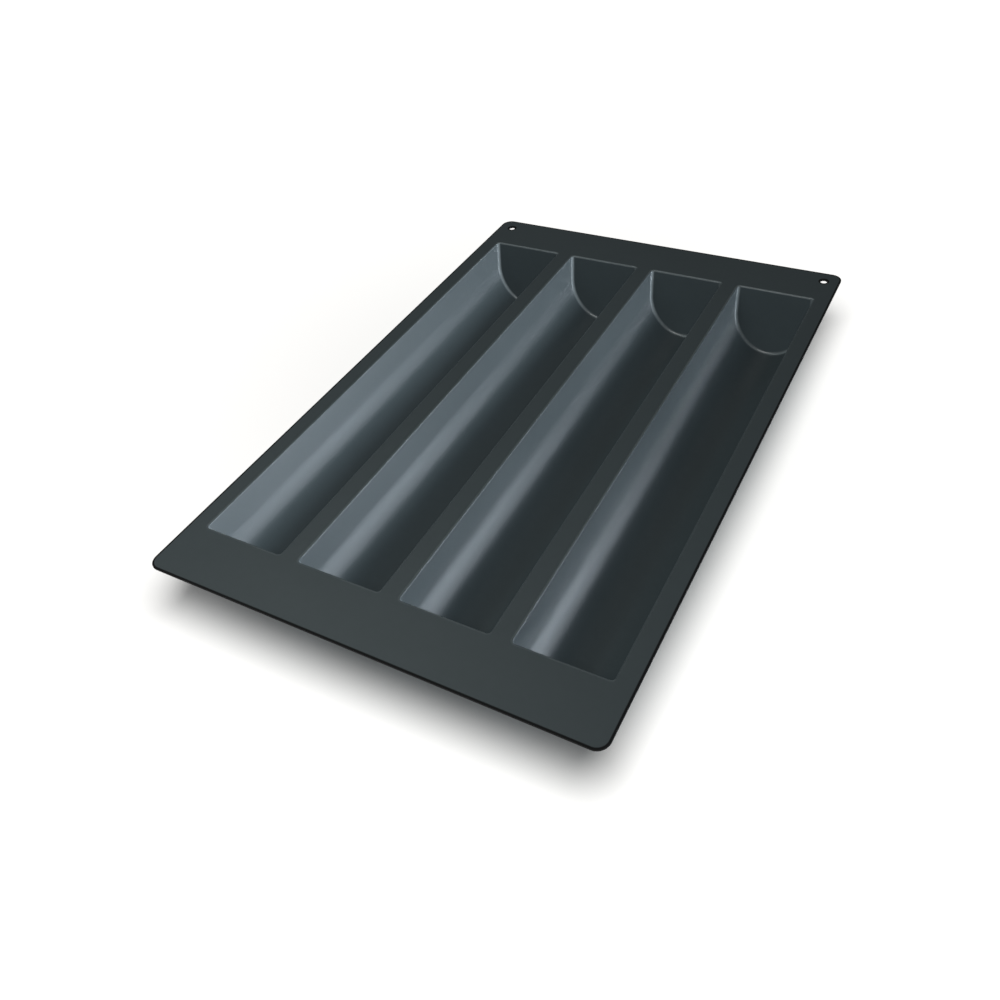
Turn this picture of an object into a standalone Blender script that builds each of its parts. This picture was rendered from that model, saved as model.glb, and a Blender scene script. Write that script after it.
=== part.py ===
"""Baguette tray: one silicone moulding, a flat sheet with four deep U-shaped troughs.

It is modelled region by region: rim_sheet is the flat sheet, and trough_1 to trough_4 are the
troughs with their rounded lips. The regions keep a hair gap where the real moulding runs on.

Metres. The origin is on the surface that the tray stands on, under its centre. +X goes across
the troughs, +Y along them towards the end with the hanging holes, and +Z up.
"""

from math import cos, pi, radians, sin, tan

import bmesh
import bpy

SHEET_WIDTH = 0.400
SHEET_LENGTH = 0.600
SHEET_THICKNESS = 0.002
SHEET_CORNER_RADIUS = 0.0105
SHEET_EDGE_ROUND = 0.0008

HANGING_HOLE_RADIUS = 0.0035
HANGING_HOLE_INSET = 0.016
HANGING_HOLE_ROUND = 0.0004

TROUGH_COUNT = 4
TROUGH_DEPTH = 0.070
FLANK_DEPTH = 0.026
MOUTH_WIDTH = 0.080
MOUTH_LENGTH = 0.498
WEB_WIDTH = 0.016
WALL = 0.002
LIP_ROUND = 0.001
NECK_ROUND = 0.0015
END_DRAFT = radians(8)
CAVITY_FILLET = 0.003
COLLAR_WIDTH = 0.004

GAP = 0.0003

SHEET_CORNER_SEGMENTS = 8
SHEET_EDGE_SEGMENTS = 3
HOLE_SEGMENTS = 20
HOLE_ROUND_SEGMENTS = 2
FILLET_SEGMENTS = 4
LIP_SEGMENTS = 3
FLOOR_SEGMENTS = 24
SHARP_ANGLE = radians(35)

PITCH = MOUTH_WIDTH + WEB_WIDTH
DECK_TOP = WALL + TROUGH_DEPTH
DECK_BOTTOM = DECK_TOP - SHEET_THICKNESS
CAVITY_HALF_WIDTH = MOUTH_WIDTH / 2 - LIP_ROUND
CAVITY_HALF_LENGTH = MOUTH_LENGTH / 2 - LIP_ROUND
CAVITY_TOP = DECK_TOP - LIP_ROUND
FLANK_FOOT = DECK_TOP - FLANK_DEPTH
COLLAR_HALF_WIDTH = MOUTH_WIDTH / 2 + COLLAR_WIDTH
COLLAR_HALF_LENGTH = MOUTH_LENGTH / 2 + COLLAR_WIDTH
COLLAR_CORNER_RADIUS = CAVITY_FILLET + LIP_ROUND + COLLAR_WIDTH

SILICONE_GREY = (0.045, 0.058, 0.062, 1)


def quarter_turn(segments):
    """Angles from 0 to a quarter turn."""
    return [pi / 2 * step / segments for step in range(segments + 1)]


def end_stations(segments):
    """Where the cross sections of a rounded end lie: (end, angle), front end to back end.

    At angle 0 a corner leaves the long side, and at a quarter turn it has reached the end.
    """
    turn = quarter_turn(segments)
    return [(-1, angle) for angle in reversed(turn)] + [(1, angle) for angle in turn]


def rounded_rectangle(half_width, half_length, radius, z, segments, centre=(0, 0)):
    """Points of a rounded rectangle: up its left side to the back end, and down its right."""
    left = []
    for end, angle in end_stations(segments):
        x = half_width - radius * (1 - cos(angle))
        y = end * (half_length - radius * (1 - sin(angle)))
        left.append((-x, y))
    right = [(-x, y) for x, y in reversed(left)]
    return [(centre[0] + x, centre[1] + y, z) for x, y in left + right]


def circle(radius, z, centre):
    turns = [2 * pi * step / HOLE_SEGMENTS for step in range(HOLE_SEGMENTS)]
    return [(centre[0] + radius * cos(a), centre[1] + radius * sin(a), z) for a in turns]


def add_loop(mesh, points):
    return [mesh.verts.new(point) for point in points]


def bridge(mesh, first, second, closed=True):
    """Quads between two rows of vertices of the same length."""
    count = len(first)
    for near in range(count if closed else count - 1):
        far = (near + 1) % count
        mesh.faces.new((first[near], first[far], second[far], second[near]))


def bridge_all(mesh, rows, closed=True):
    for first, second in zip(rows, rows[1:]):
        bridge(mesh, first, second, closed)


def fill_between(mesh, outline, holes):
    """A flat face inside the outline and outside every hole."""
    edges = []
    for loop in [outline] + holes:
        for near, far in zip(loop, loop[1:] + loop[:1]):
            edges.append(mesh.edges.get((near, far)) or mesh.edges.new((near, far)))
    bmesh.ops.triangle_fill(mesh, edges=edges, use_beauty=True)


def u_section(end, angle, half_width, end_length, fillet, wall, top):
    """One cross section of a trough's inner or outer face, from lip to lip.

    Its flanks are upright down to FLANK_FOOT, and its floor is half an ellipse. The facets of
    the floor touch the ellipse at their middles, so that the first and last run on from the
    flanks and the lowest one is level. The end wall leans out by END_DRAFT, and the section
    lies at this angle of the fillet that leads into it.
    """
    inset = fillet * (1 - cos(angle))
    run = fillet * (1 - sin(angle))
    half = half_width - inset
    drop = FLANK_FOOT - WALL + wall - inset
    facet = pi / FLOOR_SEGMENTS
    corner = 1 / cos(facet / 2)
    floor = [facet * (step + 0.5) for step in range(FLOOR_SEGMENTS)]
    points = [(-half, top)]
    points += [(-half * corner * cos(a), FLANK_FOOT - drop * corner * sin(a)) for a in floor]
    points += [(half, top)]
    lean = tan(END_DRAFT)
    return [(x, end * (end_length - (CAVITY_TOP - z) * lean - run), z) for x, z in points]


def trough_face(mesh, wall, top):
    """The inner face of a trough (wall 0) or its outer one. Returns the loop of its open top."""
    half_width = CAVITY_HALF_WIDTH + wall
    end_length = CAVITY_HALF_LENGTH + wall / cos(END_DRAFT)
    sections = []
    for end, angle in end_stations(FILLET_SEGMENTS):
        points = u_section(end, angle, half_width, end_length, CAVITY_FILLET + wall, wall, top)
        sections.append(add_loop(mesh, points))
    bridge_all(mesh, sections, closed=False)
    mesh.faces.new(sections[0])
    mesh.faces.new(sections[-1])
    left = [section[0] for section in sections]
    right = [section[-1] for section in reversed(sections)]
    return left + right


def lip_loops(mesh):
    """The rounded lip, from the flat collar down to the cavity. The cavity's own loop is left out."""
    loops = []
    for angle in quarter_turn(LIP_SEGMENTS)[:-1]:
        out = LIP_ROUND * (1 - sin(angle))
        z = DECK_TOP - LIP_ROUND * (1 - cos(angle))
        points = rounded_rectangle(
            CAVITY_HALF_WIDTH + out, CAVITY_HALF_LENGTH + out, CAVITY_FILLET + out, z,
            FILLET_SEGMENTS)
        loops.append(add_loop(mesh, points))
    return loops


def neck_loops(mesh, wall_top):
    """The round between the outer wall and the collar's underside, wall's own loop left out."""
    lean_in = (CAVITY_TOP - wall_top) * tan(END_DRAFT)
    half_length = CAVITY_HALF_LENGTH + WALL / cos(END_DRAFT) - lean_in
    loops = []
    for angle in quarter_turn(LIP_SEGMENTS)[1:]:
        out = NECK_ROUND * (1 - cos(angle))
        z = DECK_BOTTOM - NECK_ROUND * (1 - sin(angle))
        points = rounded_rectangle(
            CAVITY_HALF_WIDTH + WALL + out, half_length + out, CAVITY_FILLET + WALL + out, z,
            FILLET_SEGMENTS)
        loops.append(add_loop(mesh, points))
    return loops


def collar_loop(mesh, z):
    points = rounded_rectangle(
        COLLAR_HALF_WIDTH - GAP, COLLAR_HALF_LENGTH - GAP, COLLAR_CORNER_RADIUS - GAP, z,
        FILLET_SEGMENTS)
    return add_loop(mesh, points)


def trough_mesh():
    mesh = bmesh.new()
    wall_top = DECK_BOTTOM - NECK_ROUND
    cavity = trough_face(mesh, 0, CAVITY_TOP)
    outer = trough_face(mesh, WALL, wall_top)
    rows = [collar_loop(mesh, DECK_BOTTOM), collar_loop(mesh, DECK_TOP)]
    rows += lip_loops(mesh) + [cavity]
    bridge_all(mesh, rows)
    bridge_all(mesh, [outer] + neck_loops(mesh, wall_top) + [rows[0]])
    return finished_mesh(mesh, "trough")


def rounded_edge_rows(mesh, outline_at, rounding, segments):
    """Loops from the sheet's top face to its bottom face round a free edge.

    outline_at(inset, z) gives the outline at a distance inside the material from the edge.
    """
    rows = []
    for angle in quarter_turn(segments):
        drop = rounding * (1 - cos(angle))
        rows.append(add_loop(mesh, outline_at(rounding * (1 - sin(angle)), DECK_TOP - drop)))
    for angle in reversed(quarter_turn(segments)):
        lift = rounding * (1 - cos(angle))
        rows.append(add_loop(mesh, outline_at(rounding * (1 - sin(angle)), DECK_BOTTOM + lift)))
    bridge_all(mesh, rows)
    return rows[0], rows[-1]


def rim_outline(inset, z):
    return rounded_rectangle(
        SHEET_WIDTH / 2 - inset, SHEET_LENGTH / 2 - inset, SHEET_CORNER_RADIUS - inset, z,
        SHEET_CORNER_SEGMENTS)


def trough_centres():
    middle = (TROUGH_COUNT - 1) / 2
    return [PITCH * (index - middle) for index in range(TROUGH_COUNT)]


def rim_sheet_mesh():
    mesh = bmesh.new()
    outline_top, outline_bottom = rounded_edge_rows(
        mesh, rim_outline, SHEET_EDGE_ROUND, SHEET_EDGE_SEGMENTS)
    tops, bottoms = [], []
    for centre_x in trough_centres():
        loops = []
        for z in (DECK_TOP, DECK_BOTTOM):
            points = rounded_rectangle(
                COLLAR_HALF_WIDTH, COLLAR_HALF_LENGTH, COLLAR_CORNER_RADIUS, z,
                FILLET_SEGMENTS, (centre_x, 0))
            loops.append(add_loop(mesh, points))
        bridge(mesh, *loops)
        tops.append(loops[0])
        bottoms.append(loops[1])
    for side in (-1, 1):
        centre = (side * (SHEET_WIDTH / 2 - HANGING_HOLE_INSET),
                  SHEET_LENGTH / 2 - HANGING_HOLE_INSET)

        def hole_outline(inset, z, centre=centre):
            return circle(HANGING_HOLE_RADIUS + inset, z, centre)

        top, bottom = rounded_edge_rows(
            mesh, hole_outline, HANGING_HOLE_ROUND, HOLE_ROUND_SEGMENTS)
        tops.append(top)
        bottoms.append(bottom)
    fill_between(mesh, outline_top, tops)
    fill_between(mesh, outline_bottom, bottoms)
    return finished_mesh(mesh, "rim_sheet")


def finished_mesh(mesh, name):
    """Turns every face outward and shades the round stretches smooth."""
    bmesh.ops.recalc_face_normals(mesh, faces=mesh.faces)
    data = bpy.data.meshes.new(name)
    mesh.to_mesh(data)
    mesh.free()
    data.shade_smooth()
    data.set_sharp_from_angle(angle=SHARP_ANGLE)
    return data


def silicone(name, colour, roughness):
    material = bpy.data.materials.new(name)
    material.use_nodes = True
    shader = material.node_tree.nodes["Principled BSDF"]
    shader.inputs["Base Color"].default_value = colour
    shader.inputs["Roughness"].default_value = roughness
    shader.inputs["Metallic"].default_value = 0
    return material


def add_region(name, data, parent, x, material):
    region = bpy.data.objects.new(name, data)
    bpy.context.scene.collection.objects.link(region)
    region.location.x = x
    region.parent = parent
    if not data.materials:
        data.materials.append(material)
    return region


def main():
    for leftover in list(bpy.data.objects):
        bpy.data.objects.remove(leftover, do_unlink=True)
    tray = bpy.data.objects.new("tray", None)
    bpy.context.scene.collection.objects.link(tray)
    rim_material = silicone("rim_silicone", SILICONE_GREY, 0.45)
    trough_material = silicone("trough_silicone", SILICONE_GREY, 0.40)
    add_region("rim_sheet", rim_sheet_mesh(), tray, 0, rim_material)
    shared_trough = trough_mesh()
    for number, centre_x in enumerate(trough_centres(), start=1):
        add_region(f"trough_{number}", shared_trough, tray, centre_x, trough_material)


main()
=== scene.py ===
from collections import namedtuple
from math import cos, pi, radians, sin, tan

import bmesh
import bpy
from mathutils import Matrix, Vector


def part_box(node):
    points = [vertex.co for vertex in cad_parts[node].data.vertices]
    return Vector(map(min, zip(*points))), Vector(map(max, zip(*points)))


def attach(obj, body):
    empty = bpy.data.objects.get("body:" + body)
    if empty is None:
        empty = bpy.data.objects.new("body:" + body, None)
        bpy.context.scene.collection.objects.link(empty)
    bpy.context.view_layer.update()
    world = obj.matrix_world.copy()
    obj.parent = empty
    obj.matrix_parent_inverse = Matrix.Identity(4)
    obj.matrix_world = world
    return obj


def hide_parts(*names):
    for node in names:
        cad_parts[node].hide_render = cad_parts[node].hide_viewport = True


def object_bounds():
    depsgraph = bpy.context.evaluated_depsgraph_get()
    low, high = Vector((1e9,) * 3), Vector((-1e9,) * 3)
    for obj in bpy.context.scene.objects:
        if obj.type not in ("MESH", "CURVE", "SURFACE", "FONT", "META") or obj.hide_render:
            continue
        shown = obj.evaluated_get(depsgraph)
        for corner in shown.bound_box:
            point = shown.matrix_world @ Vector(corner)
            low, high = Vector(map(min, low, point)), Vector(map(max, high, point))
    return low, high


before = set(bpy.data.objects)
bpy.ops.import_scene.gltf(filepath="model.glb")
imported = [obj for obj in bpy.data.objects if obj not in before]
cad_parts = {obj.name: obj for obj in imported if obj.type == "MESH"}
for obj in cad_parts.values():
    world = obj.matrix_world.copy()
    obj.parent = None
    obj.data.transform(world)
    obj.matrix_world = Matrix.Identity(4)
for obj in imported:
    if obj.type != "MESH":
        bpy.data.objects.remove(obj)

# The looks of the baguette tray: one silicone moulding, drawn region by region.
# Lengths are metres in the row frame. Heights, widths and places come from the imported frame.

cad_low, cad_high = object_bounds()

# The moulding's finer sizes, which the CAD boxes don't state. A shade band is the strip of the
# sheet's faces beside its cut edge that shares the edge's painted dark shade and matt finish.
SHEET_THICKNESS = 0.002
SHEET_CORNER_RADIUS = 0.0105
SHEET_EDGE_ROUND = 0.0005
HOLE_RADIUS = 0.0035
HOLE_INSET = 0.016
HOLE_ROUND = 0.0004
EDGE_SHADE_BAND = 0.0010
HOLE_SHADE_BAND = 0.0012
MOUTH_WIDTH = 0.080
MOUTH_LENGTH = 0.498
WALL = 0.002
FLANK_DEPTH = 0.026
END_DRAFT = radians(8)
LIP_ROUND = 0.001
NECK_ROUND = 0.0015
CAVITY_FILLET = 0.003
COLLAR_WIDTH = 0.004

DECK_TOP = cad_high.z
DECK_BOTTOM = DECK_TOP - SHEET_THICKNESS
SHEET_HALF_WIDTH = cad_high.x
SHEET_HALF_LENGTH = cad_high.y
CAVITY_HALF_WIDTH = MOUTH_WIDTH / 2 - LIP_ROUND
CAVITY_HALF_LENGTH = MOUTH_LENGTH / 2 - LIP_ROUND
CAVITY_TOP = DECK_TOP - LIP_ROUND
FLANK_FOOT = DECK_TOP - FLANK_DEPTH

# Mesh fineness. A support loop lies this far from a bend, and keeps its shading off the flats.
CORNER_SEGMENTS = 12
EDGE_SEGMENTS = 8
HOLE_SEGMENTS = 48
FLOOR_SEGMENTS = 96
FLANK_SEGMENTS = 8
LENGTH_SEGMENTS = 24
SUPPORT = 0.0006
SHARP_ANGLE = radians(50)

# How bright the painted highlight is on the four sides of a lip, and the width over which it fades
# on the sheet.
BACK_LIP_HIGHLIGHT, FRONT_LIP_HIGHLIGHT, LEFT_LIP_HIGHLIGHT, RIGHT_LIP_HIGHLIGHT = 1.0, 0.4, 0.45, 0.1
LIP_FADE = 0.0010

# How a trough's faces are finished, on a scale where the sheet's own satin is 0.
POLISHED, MATT = 1, -1


def quarter_turn(segments):
    return [pi / 2 * step / segments for step in range(segments + 1)]


def bump_at(angle):
    """1 in the middle of a quarter turn and 0 at both its ends."""
    return sin(2 * angle)


def stations(segments, between=1, support=0):
    """Places along a rounded outline's side: (end, angle, share of the straight run, inset).

    The corners come as angles from the end (a quarter turn) to the long side (0), the straight
    run is cut into equal lengths, and a support point lies just inside each end.
    """
    turn = quarter_turn(segments)
    places = [(-1, angle, 1, 0) for angle in reversed(turn)]
    places += [(1, 0, 2 * step / between - 1, 0) for step in range(1, between)]
    places += [(1, angle, 1, 0) for angle in turn]
    if support:
        places = [(-1, pi / 2, 1, support)] + places + [(1, pi / 2, 1, support)]
    return places


def rounded_rectangle(half_width, half_length, radius, z, places, centre_x=0):
    """Points of a rounded rectangle: up its left side to the back end, and down its right."""
    side = []
    for end, angle, share, inset in places:
        x = half_width - radius * (1 - cos(angle)) - inset
        y = end * (half_length - radius * (1 - sin(angle))) * share
        side.append((x, y))
    left = [(centre_x - x, y, z) for x, y in side]
    return left + [(centre_x + x, y, z) for x, y in reversed(side)]


def lip_wear(place, centre_x):
    """How strong the painted highlight is at a place on the lip: most at the back, least on the
    right.
    """
    if abs(place.y) > CAVITY_HALF_LENGTH - CAVITY_FILLET / 2:
        return BACK_LIP_HIGHLIGHT if place.y > 0 else FRONT_LIP_HIGHLIGHT
    return RIGHT_LIP_HIGHLIGHT if place.x > centre_x else LEFT_LIP_HIGHLIGHT


class Skin:
    """A mesh being built, whose points carry how polished the silicone is, where a highlight is
    painted and where dark edge shade is painted.
    """

    def __init__(self):
        self.mesh = bmesh.new()
        layers = self.mesh.verts.layers.float
        self.finish = {name: layers.new(name) for name in ("polish", "wear", "trim")}

    def loop(self, points, **finish):
        loop = []
        for point in points:
            vert = self.mesh.verts.new(point)
            for name, value in finish.items():
                vert[self.finish[name]] = value
            loop.append(vert)
        return loop

    def bridge(self, first, second, closed=True):
        count = len(first)
        for near in range(count if closed else count - 1):
            far = (near + 1) % count
            self.mesh.faces.new((first[near], first[far], second[far], second[near]))

    def bridge_all(self, rows, closed=True):
        for first, second in zip(rows, rows[1:]):
            self.bridge(first, second, closed)

    def fill_between(self, outline, holes):
        edges = []
        for loop in [outline] + holes:
            for near, far in zip(loop, loop[1:] + loop[:1]):
                edges.append(self.mesh.edges.get((near, far)) or self.mesh.edges.new((near, far)))
        bmesh.ops.triangle_fill(self.mesh, edges=edges, use_beauty=True)

    def piece(self, name):
        bmesh.ops.recalc_face_normals(self.mesh, faces=self.mesh.faces)
        data = bpy.data.meshes.new(name)
        self.mesh.to_mesh(data)
        self.mesh.free()
        data.shade_smooth()
        data.set_sharp_from_angle(angle=SHARP_ANGLE)
        piece = bpy.data.objects.new(name, data)
        bpy.context.scene.collection.objects.link(piece)
        return piece


TROUGH_PLACES = stations(CORNER_SEGMENTS, LENGTH_SEGMENTS, SUPPORT)


def trough_outline(skin, out, z, centre_x, half_width=CAVITY_HALF_WIDTH,
                   half_length=CAVITY_HALF_LENGTH, radius=CAVITY_FILLET, **finish):
    """A loop at a distance outside the cavity's own outline, in plan."""
    points = rounded_rectangle(
        half_width + out, half_length + out, radius + out, z, TROUGH_PLACES, centre_x)
    return skin.loop(points, **finish)


def u_profile(half, drop, top):
    """(x, z) of a trough's cross section, lip to lip: upright flanks and a half-ellipse floor."""
    first = top - SUPPORT
    flank = [top] + [first + (FLANK_FOOT - first) * step / FLANK_SEGMENTS
                     for step in range(FLANK_SEGMENTS)]
    floor = [pi * step / FLOOR_SEGMENTS for step in range(FLOOR_SEGMENTS + 1)]
    points = [(-half, z) for z in flank]
    points += [(-half * cos(a), FLANK_FOOT - drop * sin(a)) for a in floor]
    return points + [(half, z) for z in reversed(flank)]


def trough_face(skin, wall, top, centre_x, polish, highlighted):
    """The inner face of a trough (wall 0) or its outer one. Returns the loop of its open top.

    Where a face is highlighted, its fillets and its top edge get a painted highlight.
    """
    fillet = CAVITY_FILLET + wall
    length = CAVITY_HALF_LENGTH + wall / cos(END_DRAFT)
    lean = tan(END_DRAFT)
    sections = []
    for end, angle, share, support in TROUGH_PLACES:
        inset = fillet * (1 - cos(angle)) + support
        run = fillet * (1 - sin(angle))
        half = CAVITY_HALF_WIDTH + wall - inset
        drop = FLANK_FOOT - WALL + wall - inset
        points = [(centre_x + x, end * share * (length - (CAVITY_TOP - z) * lean - run), z)
                  for x, z in u_profile(half, drop, top)]
        # The cavity's fillets and lip edges get a painted highlight.
        section = skin.loop(points, polish=polish, wear=bump_at(angle) * highlighted)
        for vert in (section[0], section[-1]):
            vert[skin.finish["wear"]] = lip_wear(vert.co, centre_x) * highlighted
        sections.append(section)
    skin.bridge_all(sections, closed=False)
    for section in (sections[0], sections[-1]):
        last = len(section) - 1
        for step in range(last // 2):
            corners = (section[step], section[step + 1],
                       section[last - step - 1], section[last - step])
            # At the bottom the two middle corners are the same one, and the face is a triangle.
            skin.mesh.faces.new(dict.fromkeys(corners))
    left = [section[0] for section in sections]
    right = [section[-1] for section in reversed(sections)]
    return left + right


def trough_piece(name, centre_x):
    """A trough's shell, its rounded lip and neck, and the collar that meets the rim."""
    skin = Skin()
    wall_top = DECK_BOTTOM - NECK_ROUND
    cavity = trough_face(skin, 0, CAVITY_TOP, centre_x, POLISHED, highlighted=1)
    outer = trough_face(skin, WALL, wall_top, centre_x, MATT, highlighted=0)
    rows = [trough_outline(skin, COLLAR_WIDTH + LIP_ROUND, DECK_BOTTOM, centre_x),
            trough_outline(skin, COLLAR_WIDTH + LIP_ROUND, DECK_TOP, centre_x),
            trough_outline(skin, LIP_ROUND + LIP_FADE, DECK_TOP, centre_x)]
    for angle in quarter_turn(EDGE_SEGMENTS)[:-1]:
        lip = trough_outline(skin, LIP_ROUND * (1 - sin(angle)),
                             DECK_TOP - LIP_ROUND * (1 - cos(angle)), centre_x, polish=POLISHED)
        # The lip gets a painted highlight, strongest at the back and weakest on the right.
        for vert in lip:
            vert[skin.finish["wear"]] = lip_wear(vert.co, centre_x)
        rows.append(lip)
    skin.bridge_all(rows + [cavity])
    lean_in = (CAVITY_TOP - wall_top) * tan(END_DRAFT)
    wall = dict(half_width=CAVITY_HALF_WIDTH + WALL,
                half_length=CAVITY_HALF_LENGTH + WALL / cos(END_DRAFT) - lean_in,
                radius=CAVITY_FILLET + WALL)
    neck = [outer]
    for angle in quarter_turn(EDGE_SEGMENTS)[1:]:
        z = DECK_BOTTOM - NECK_ROUND * (1 - sin(angle))
        neck.append(trough_outline(skin, NECK_ROUND * (1 - cos(angle)), z, centre_x, **wall))
    skin.bridge_all(neck + [rows[0]])
    return skin.piece(name)


def edge_rows(skin, outline_at, rounding, segments, band):
    """Loops round a free edge of the sheet, from its top face to its bottom one.

    The edge and a band of the two faces beside it get painted dark shade and a matt finish.
    """
    turn = [(rounding + band + SUPPORT, 0, 0), (rounding + band, 0, 1)]
    turn += [(rounding * (1 - sin(angle)), rounding * (1 - cos(angle)), 1)
             for angle in quarter_turn(segments)]
    rows = [skin.loop(outline_at(inset, DECK_TOP - drop), trim=trim)
            for inset, drop, trim in turn]
    rows += [skin.loop(outline_at(inset, DECK_BOTTOM + drop), trim=trim)
             for inset, drop, trim in reversed(turn)]
    skin.bridge_all(rows)
    return rows[0], rows[-1]


def sheet_outline(inset, z):
    return rounded_rectangle(
        SHEET_HALF_WIDTH - inset, SHEET_HALF_LENGTH - inset, SHEET_CORNER_RADIUS - inset, z,
        stations(CORNER_SEGMENTS))


def hole_outline(side):
    centre_x = side * (SHEET_HALF_WIDTH - HOLE_INSET)
    centre_y = SHEET_HALF_LENGTH - HOLE_INSET

    def outline_at(inset, z):
        turns = [2 * pi * step / HOLE_SEGMENTS for step in range(HOLE_SEGMENTS)]
        radius = HOLE_RADIUS + inset
        return [(centre_x + radius * cos(a), centre_y + radius * sin(a), z) for a in turns]
    return outline_at


def rim_piece(name, centres):
    """The flat sheet with its rounded edge, its openings for the collars and its two holes."""
    skin = Skin()
    outline_top, outline_bottom = edge_rows(
        skin, sheet_outline, SHEET_EDGE_ROUND, EDGE_SEGMENTS, EDGE_SHADE_BAND)
    tops, bottoms = [], []
    for centre_x in centres:
        top = trough_outline(skin, COLLAR_WIDTH + LIP_ROUND, DECK_TOP, centre_x)
        bottom = trough_outline(skin, COLLAR_WIDTH + LIP_ROUND, DECK_BOTTOM, centre_x)
        skin.bridge(top, bottom)
        tops.append(top)
        bottoms.append(bottom)
    for side in (-1, 1):
        top, bottom = edge_rows(
            skin, hole_outline(side), HOLE_ROUND, EDGE_SEGMENTS // 2, HOLE_SHADE_BAND)
        tops.append(top)
        bottoms.append(bottom)
    skin.fill_between(outline_top, tops)
    skin.fill_between(outline_bottom, bottoms)
    return skin.piece(name)


def centre_of(node):
    low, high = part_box(node)
    return (low.x + high.x) / 2


# The middle range of a noise texture's values.
NOISE_LOW, NOISE_HIGH = 0.3, 0.7


class Nodes:
    """Short calls for building one material's node tree."""

    def __init__(self, name):
        self.material = bpy.data.materials.new(name)
        self.material.use_nodes = True
        self.tree = self.material.node_tree
        self.shader = self.tree.nodes["Principled BSDF"]

    def link(self, value, socket):
        if isinstance(value, bpy.types.NodeSocket):
            self.tree.links.new(value, socket)
        else:
            socket.default_value = value

    def add(self, kind, inputs, output=0, **settings):
        node = self.tree.nodes.new(kind)
        for name, value in settings.items():
            setattr(node, name, value)
        for name, value in inputs.items():
            self.link(value, node.inputs[name])
        return node.outputs[output]

    def maths(self, operation, first, second=0.0, clamp=False):
        return self.add("ShaderNodeMath", {0: first, 1: second}, operation=operation,
                        use_clamp=clamp)

    def noise(self, scale, detail=2.0, roughness=0.5, stretch=(1, 1, 1)):
        place = self.add("ShaderNodeTexCoord", {}, output="Object")
        place = self.add("ShaderNodeMapping", {"Vector": place, "Scale": stretch})
        return self.add("ShaderNodeTexNoise", {
            "Vector": place, "Scale": scale, "Detail": detail, "Roughness": roughness},
            output="Fac")

    def spread(self, value, low, high):
        """Maps a noise's middle range to low and high, and what lies outside it further on."""
        return self.add("ShaderNodeMapRange", {
            "Value": value, "From Min": NOISE_LOW, "From Max": NOISE_HIGH,
            "To Min": low, "To Max": high}, clamp=False)

    def finish(self, name):
        return self.add("ShaderNodeAttribute", {}, output="Fac", attribute_name=name)

    def mix(self, factor, first, second, data_type="FLOAT"):
        node = self.tree.nodes.new("ShaderNodeMix")
        node.data_type = data_type
        node.clamp_factor = False
        sockets = [socket for socket in node.inputs if socket.enabled]
        for value, socket in zip((factor, first, second), sockets):
            self.link(value, socket)
        return [socket for socket in node.outputs if socket.enabled][0]

    def scaled(self, colour, factor):
        return self.add("ShaderNodeVectorMath", {0: colour, "Scale": factor}, operation="SCALE")


SILICONE_COLOUR = (0.045, 0.058, 0.062, 1)
# A paler colour, painted where a highlight falls on the lips and fillets.
HIGHLIGHT_COLOUR = (0.150, 0.175, 0.182, 1)
SILICONE_IOR = 1.42
SATIN_ROUGHNESS = 0.46
POLISHED_ROUGHNESS = 0.30
HIGHLIGHT_ROUGHNESS = 0.22
TRIM_ROUGHNESS = 0.95
# The cut edge's colour is darkened to a painted shade line.
EDGE_SHADE_TONE = 0.03

# Scales of the noises, from broad to fine. The drawn one is stretched along the troughs.
CLOUD_SCALE, RIPPLE_SCALE, MOTTLE_SCALE, DRAWN_SCALE, GRAIN_SCALE = 7.0, 38.0, 160.0, 220.0, 1500.0
DRAWN_STRETCH = (1, 0.06, 1)
# What the noises do: the tone's factors, the roughness's changes and the patchiness of the painted
# highlight.
CLOUD_TONE = (0.97, 1.03)
MOTTLE_TONE = (0.98, 1.02)
CLOUD_MATTING = (-0.02, 0.02)
DRAWN_MATTING = (-0.004, 0.004)
HIGHLIGHT_PATCHES = (0.8, 1.0)
# Bumps: the strength, and the depth in metres. Polished silicone keeps only a part of the grain.
GRAIN_STRENGTH, GRAIN_DEPTH = 0.25, 0.00008
RIPPLE_STRENGTH, RIPPLE_DEPTH = 0.5, 0.0004
POLISHED_GRAIN = 0.35


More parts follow.
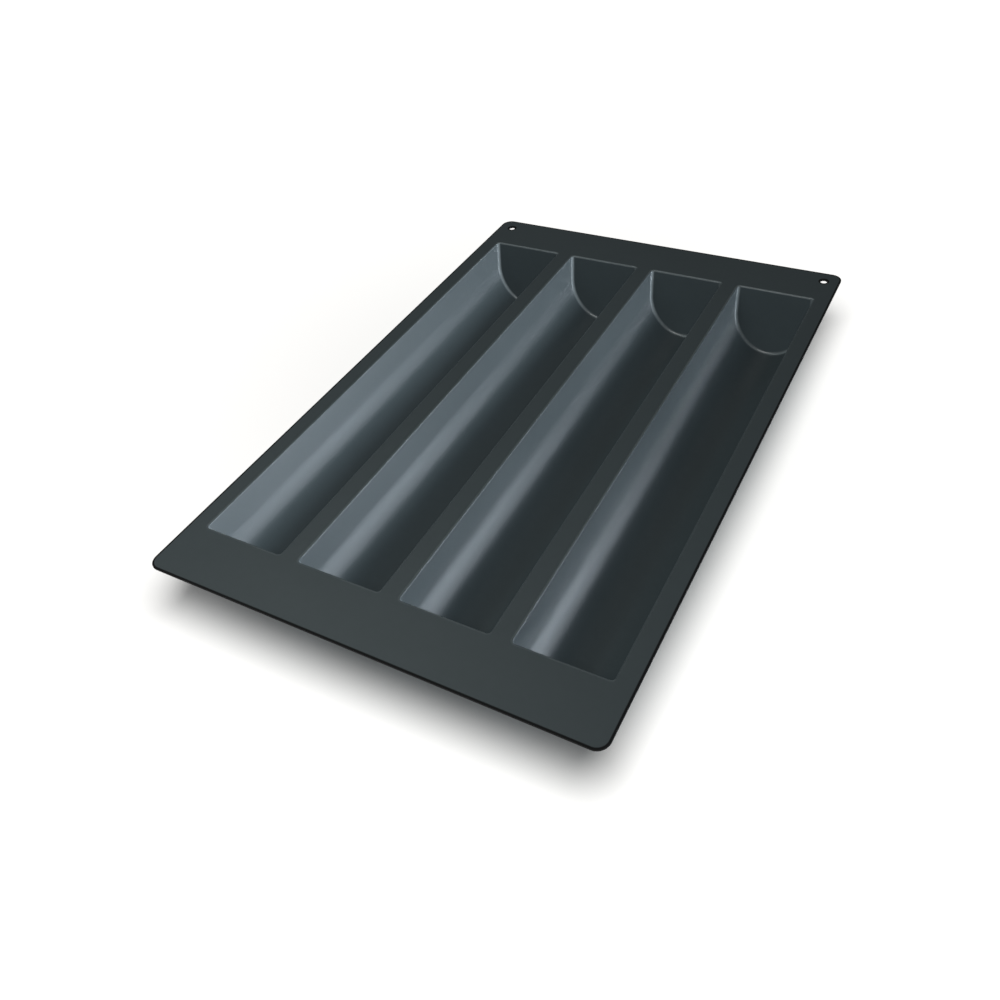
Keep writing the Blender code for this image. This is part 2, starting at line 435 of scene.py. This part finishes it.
def silicone_material():
    """Satin dark silicone: matt fine-grained rim, smoother troughs, painted highlights on lips and
    fillets, painted dark shade on cut edges.
    """
    nodes = Nodes("silicone")
    polish, wear, trim = (nodes.finish(name) for name in ("polish", "wear", "trim"))
    cloud = nodes.noise(CLOUD_SCALE, detail=3.0)
    mottle = nodes.noise(MOTTLE_SCALE, detail=3.0, roughness=0.6)
    grain = nodes.noise(GRAIN_SCALE)
    drawn = nodes.noise(DRAWN_SCALE, stretch=DRAWN_STRETCH)
    ripple = nodes.noise(RIPPLE_SCALE, detail=1.0)

    tone = nodes.maths("MULTIPLY", nodes.spread(cloud, *CLOUD_TONE),
                       nodes.spread(mottle, *MOTTLE_TONE))
    # Painted dark shade on the sheet's cut edge and round the holes.
    tone = nodes.maths("MULTIPLY", tone, nodes.mix(trim, 1.0, EDGE_SHADE_TONE))
    # A painted highlight on the lips and fillets, paler in patches; these places are also
    # glossier.
    highlighted = nodes.maths("MULTIPLY", wear, nodes.spread(mottle, *HIGHLIGHT_PATCHES), clamp=True)
    colour = nodes.mix(highlighted, SILICONE_COLOUR, HIGHLIGHT_COLOUR, data_type="RGBA")
    nodes.link(nodes.scaled(colour, tone), nodes.shader.inputs["Base Color"])

    roughness = nodes.mix(polish, SATIN_ROUGHNESS, POLISHED_ROUGHNESS)
    roughness = nodes.mix(wear, roughness, HIGHLIGHT_ROUGHNESS)
    roughness = nodes.mix(trim, roughness, TRIM_ROUGHNESS)
    roughness = nodes.maths("ADD", roughness, nodes.spread(cloud, *CLOUD_MATTING))
    roughness = nodes.maths("ADD", roughness, nodes.spread(drawn, *DRAWN_MATTING), clamp=True)
    nodes.link(roughness, nodes.shader.inputs["Roughness"])

    height = nodes.maths("MULTIPLY", grain, nodes.mix(polish, 1.0, POLISHED_GRAIN))
    fine = nodes.add("ShaderNodeBump", {
        "Strength": GRAIN_STRENGTH, "Distance": GRAIN_DEPTH, "Height": height}, output="Normal")
    broad = nodes.add("ShaderNodeBump", {
        "Strength": RIPPLE_STRENGTH, "Distance": RIPPLE_DEPTH, "Height": ripple, "Normal": fine},
        output="Normal")
    nodes.link(broad, nodes.shader.inputs["Normal"])
    nodes.shader.inputs["IOR"].default_value = SILICONE_IOR
    return nodes.material


def add_piece(piece, node, material):
    piece.data.materials.append(material)
    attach(piece, "root")
    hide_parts(node)
    return piece


def look_at(obj, place, target, roll=0):
    obj.location = place
    obj.rotation_mode = "QUATERNION"
    aim = (Vector(target) - Vector(place)).to_track_quat("-Z", "Y")
    obj.rotation_quaternion = aim @ Matrix.Rotation(roll, 3, "Z").to_quaternion()


# The studio's lights round the tray. Azimuth and elevation are the degrees toward() takes, and
# size is a soft box's side in metres or a sun's angle in degrees. The bounces stand for light
# that reaches the left-hand flanks from the right and from below.
Light = namedtuple("Light", "name kind azimuth elevation strength size shadow colour")
TRAY_LIGHTS = [
    Light("front box", "AREA", 270, 60, 8.3, 0.7, True, (1, 1, 1)),
    Light("side box", "AREA", 180, 60, 3.3, 0.7, True, (0.9, 1, 1)),
    Light("bounce", "SUN", 30, -30, 0.63, 24, False, (0.81, 0.90, 1)),
    Light("bounce back", "SUN", 50, -20, 0.08, 24, False, (0.81, 0.90, 1)),
    Light("bounce high", "SUN", 30, -10, 0.59, 24, False, (0.81, 0.90, 1)),
    Light("bounce right", "SUN", 10, -10, 0.68, 24, False, (0.81, 0.90, 1)),
]
LIGHT_DISTANCE = 1.4
LIGHT_TARGET = Vector((0, 0, 0.05))

# Near lamps, whose light doesn't fade with distance. The floor's is so near that the tray's
# shadow comes out wider than the tray. The low one favours the left troughs, because it lies
# nearly below the right one's flanks.
NearLamp = namedtuple("NearLamp", "name place radius strength shadow gloss colour")
FLOOR_LAMP = NearLamp("floor lamp", (0.336, -0.425, 1.063), 0.351, 52.5, True, True, (1, 1, 1))
LOW_LAMP = NearLamp("low lamp", (0.26, 0.15, -0.29), 0.07, 67, False, False, (0.93, 0.95, 1))

FLOOR_COLOUR = (0.80, 0.795, 0.78, 1)
FLOOR_ROUGHNESS = 0.9
FLOOR_HALF_SIZE = 20
# The floor glows more and more between these distances from its middle, as if lit from all round.
GLOW_START, GLOW_END = 0.20, 1.6
# The studio room's brightness: what the camera sees, and what falls on the tray and the floor.
ROOM_SEEN, ROOM_SHED = 1.0, 0.1

CAMERA_PLACE = (0.3409, -0.5664, 0.5918)
CAMERA_TARGET = (0.0287, -0.0743, 0.0720)
CAMERA_ROLL = radians(-7.03)
CAMERA_LENS = 32.97
CAMERA_SENSOR = 36
CAMERA_SHIFT = (-0.0303, -0.0398)
CAMERA_CLIP = (0.01, 50)


def add_camera():
    data = bpy.data.cameras.new("camera")
    data.lens = CAMERA_LENS
    data.sensor_width = CAMERA_SENSOR
    data.shift_x, data.shift_y = CAMERA_SHIFT
    data.clip_start, data.clip_end = CAMERA_CLIP
    camera = bpy.data.objects.new("camera", data)
    bpy.context.scene.collection.objects.link(camera)
    look_at(camera, CAMERA_PLACE, CAMERA_TARGET, CAMERA_ROLL)
    bpy.context.scene.camera = camera


def toward(azimuth, elevation):
    """The unit vector to a light, with azimuth 0 along +X and turning towards +Y."""
    across, up = radians(azimuth), radians(elevation)
    return Vector((cos(up) * cos(across), cos(up) * sin(across), sin(up)))


def new_lamp(name, kind, colour, shadow, receivers):
    """A lamp that lights only the objects in receivers."""
    data = bpy.data.lights.new(name, kind)
    data.color = colour
    data.use_shadow = shadow
    # A light without shadow is also seen through the tray in gloss, which needs plain sampling.
    data.cycles.use_multiple_importance_sampling = shadow
    lamp = bpy.data.objects.new(name, data)
    bpy.context.scene.collection.objects.link(lamp)
    lamp.light_linking.receiver_collection = receivers
    return lamp


def add_light(light, receivers):
    """A studio light aimed at the tray."""
    lamp = new_lamp(light.name, light.kind, light.colour, light.shadow, receivers)
    lamp.data.energy = light.strength
    if light.kind == "SUN":
        lamp.data.angle = radians(light.size)
    else:
        lamp.data.shape = "SQUARE"
        lamp.data.size = light.size
    place = toward(light.azimuth, light.elevation) * LIGHT_DISTANCE + LIGHT_TARGET
    look_at(lamp, place, LIGHT_TARGET)


def add_near_lamp(near, receivers):
    """A soft lamp whose light doesn't fade with distance."""
    lamp = new_lamp(near.name, "POINT", near.colour, near.shadow, receivers)
    lamp.location = near.place
    lamp.visible_camera = False
    lamp.visible_glossy = near.gloss
    lamp.data.energy = 1
    lamp.data.shadow_soft_size = near.radius
    lamp.data.use_nodes = True
    tree = lamp.data.node_tree
    falloff = tree.nodes.new("ShaderNodeLightFalloff")
    falloff.inputs["Strength"].default_value = near.strength
    tree.links.new(falloff.outputs["Constant"], tree.nodes["Emission"].inputs["Strength"])


def add_floor():
    mesh = bmesh.new()
    bmesh.ops.create_grid(mesh, x_segments=1, y_segments=1, size=FLOOR_HALF_SIZE)
    data = bpy.data.meshes.new("floor")
    mesh.to_mesh(data)
    mesh.free()
    floor = bpy.data.objects.new("floor", data)
    bpy.context.scene.collection.objects.link(floor)
    nodes = Nodes("floor")
    nodes.shader.inputs["Base Color"].default_value = FLOOR_COLOUR
    nodes.shader.inputs["Roughness"].default_value = FLOOR_ROUGHNESS
    nodes.shader.inputs["Emission Color"].default_value = (1, 1, 1, 1)
    place = nodes.add("ShaderNodeTexCoord", {}, output="Object")
    distance = nodes.add("ShaderNodeVectorMath", {0: place}, output="Value", operation="LENGTH")
    glow = nodes.add("ShaderNodeMapRange", {
        "Value": distance, "From Min": GLOW_START, "From Max": GLOW_END})
    nodes.link(glow, nodes.shader.inputs["Emission Strength"])
    data.materials.append(nodes.material)
    return floor


def add_world():
    """A white studio room, which looks brighter to the camera than the light it sheds."""
    world = bpy.data.worlds.new("studio")
    world.use_nodes = True
    tree = world.node_tree
    background = tree.nodes["Background"]
    background.inputs["Color"].default_value = (1, 1, 1, 1)
    ray = tree.nodes.new("ShaderNodeLightPath")
    strength = tree.nodes.new("ShaderNodeMapRange")
    strength.inputs["To Min"].default_value = ROOM_SHED
    strength.inputs["To Max"].default_value = ROOM_SEEN
    tree.links.new(ray.outputs["Is Camera Ray"], strength.inputs["Value"])
    tree.links.new(strength.outputs["Result"], background.inputs["Strength"])
    bpy.context.scene.world = world


def lit_group(name, objects):
    """A collection of what a light may light."""
    group = bpy.data.collections.new(name)
    for obj in objects:
        group.objects.link(obj)
    return group


TROUGHS = sorted(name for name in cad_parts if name.startswith("trough_"))

silicone = silicone_material()
pieces = [add_piece(rim_piece("rim_skin", [centre_of(node) for node in TROUGHS]),
                    "rim_sheet", silicone)]
for node in TROUGHS:
    pieces.append(add_piece(trough_piece(f"{node}_skin", centre_of(node)), node, silicone))
floor = add_floor()
add_camera()
add_world()
tray_group = lit_group("lit tray", pieces)
floor_group = lit_group("lit floor", [floor])
for light in TRAY_LIGHTS:
    add_light(light, tray_group)
add_near_lamp(LOW_LAMP, tray_group)
add_near_lamp(FLOOR_LAMP, floor_group)
bpy.context.scene.view_settings.view_transform = "Standard"
